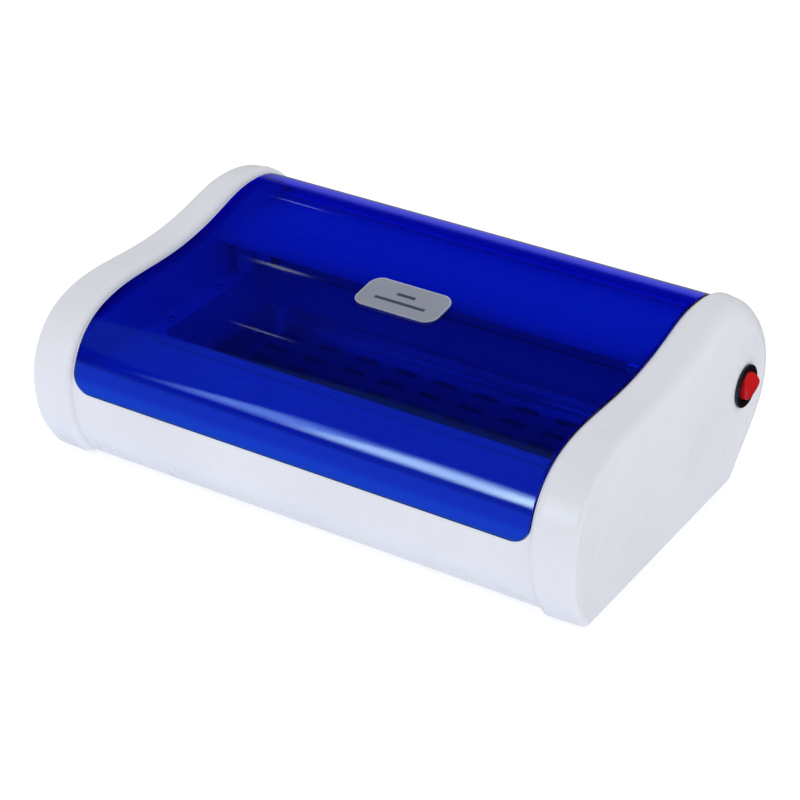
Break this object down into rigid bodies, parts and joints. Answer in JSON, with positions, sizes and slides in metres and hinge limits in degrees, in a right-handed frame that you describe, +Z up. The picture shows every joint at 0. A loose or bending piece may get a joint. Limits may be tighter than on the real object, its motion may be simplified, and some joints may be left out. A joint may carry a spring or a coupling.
{
  "type": "uv sterilizer cabinet",
  "caption": "Table-top germicidal cabinet with curved white cheeks, a hinged blue see-through lid, a lamp over a lift-out tray and a round rocker switch.",
  "frame": {"origin": "centre of the bounding box's underside, on the plane the feet stand on", "axes": "+X towards the cheek with the switch, +Y towards the hinge and the rear wall, +Z up"},
  "size_m": [0.3866, 0.2634, 0.126],
  "materials": {
    "white_plastic": "glossy white moulding",
    "base_plastic": "satin white moulding",
    "tub_plastic": "glossy white moulding",
    "foot_rubber": "matt black",
    "screw_steel": "zinc plated",
    "reflector_aluminium": "bright rolled sheet",
    "holder_plastic": "satin off-white",
    "pin_steel": "ground",
    "ballast_steel": "grey lacquered laminations",
    "starter_plastic": "satin white",
    "switch_black": "glossy black",
    "tab_brass": "bright",
    "gland_rubber": "matt black",
    "lid_plastic": "clear deep blue, polished",
    "badge_metal": "satin silver",
    "tray_steel": "satin stainless",
    "rocker_red": "glossy red",
    "lamp_glass": "clear quartz glass",
    "cap_aluminium": "bright",
    "lamp_brass": "bright",
    "wire_brown": "insulated wire",
    "wire_black": "insulated wire",
    "wire_red": "insulated wire",
    "wire_blue": "insulated wire",
    "wire_white": "insulated wire",
    "wire_neutral": "insulated wire"
  },
  "bodies": {
    "cabinet": {"housing": "white_plastic", "bottom_plate": "base_plastic", "foot_1": "foot_rubber", "foot_2": "foot_rubber", "foot_3": "foot_rubber", "foot_4": "foot_rubber", "plate_screw_1": "screw_steel", "plate_screw_2": "screw_steel", "plate_screw_3": "screw_steel", "plate_screw_4": "screw_steel", "chamber_tub": "tub_plastic", "tub_screw_1": "screw_steel", "tub_screw_2": "screw_steel", "tub_screw_3": "screw_steel", "tub_screw_4": "screw_steel", "reflector": "reflector_aluminium", "reflector_screw_1": "screw_steel", "reflector_screw_2": "screw_steel", "lamp_holder_left": "holder_plastic", "lamp_holder_right": "holder_plastic", "holder_screw_left": "screw_steel", "holder_screw_right": "screw_steel", "hinge_pin_left": "pin_steel", "hinge_pin_right": "pin_steel", "ballast": "ballast_steel", "ballast_screw_1": "screw_steel", "ballast_screw_2": "screw_steel", "starter_socket": "holder_plastic", "starter": "starter_plastic", "terminal_block": "holder_plastic", "switch_body": "switch_black", "switch_tab_1": "tab_brass", "switch_tab_2": "tab_brass", "cord_gland": "gland_rubber", "wire_terminal_switch": "wire_brown", "wire_switch_ballast": "wire_black", "wire_ballast_lamp": "wire_red", "wire_lamp_starter": "wire_blue", "wire_starter_lamp": "wire_white", "wire_lamp_terminal": "wire_neutral"},
    "lid": {"lid": "lid_plastic", "lid_badge": "badge_metal"},
    "tray": {"tray": "tray_steel"},
    "lamp": {"lamp_glass": "lamp_glass", "lamp_cap_left": "cap_aluminium", "lamp_cap_right": "cap_aluminium", "lamp_pins_left": "lamp_brass", "lamp_pins_right": "lamp_brass"},
    "rocker": {"switch_rocker": "rocker_red"}
  },
  "joints": [
    {"name": "lid_hinge", "type": "hinge", "parent": "cabinet", "child": "lid", "pos_m": [-0.00055, 0.0995, 0.10382], "axis": [-1, 0, 0], "range_deg": [0, 100]},
    {"name": "tray_lift", "type": "slide", "parent": "cabinet", "child": "tray", "axis": [0, 0, 1], "range_m": [0, 0.025]},
    {"name": "lamp_twist", "type": "hinge", "parent": "cabinet", "child": "lamp", "pos_m": [-0.00055, 0.046, 0.0795], "axis": [1, 0, 0], "range_deg": [0, 90]},
    {"name": "rocker_press", "type": "hinge", "parent": "cabinet", "child": "rocker", "pos_m": [0.18465, 0.087, 0.0628], "axis": [0, 1, 0], "range_deg": [0, 16]}
  ]
}
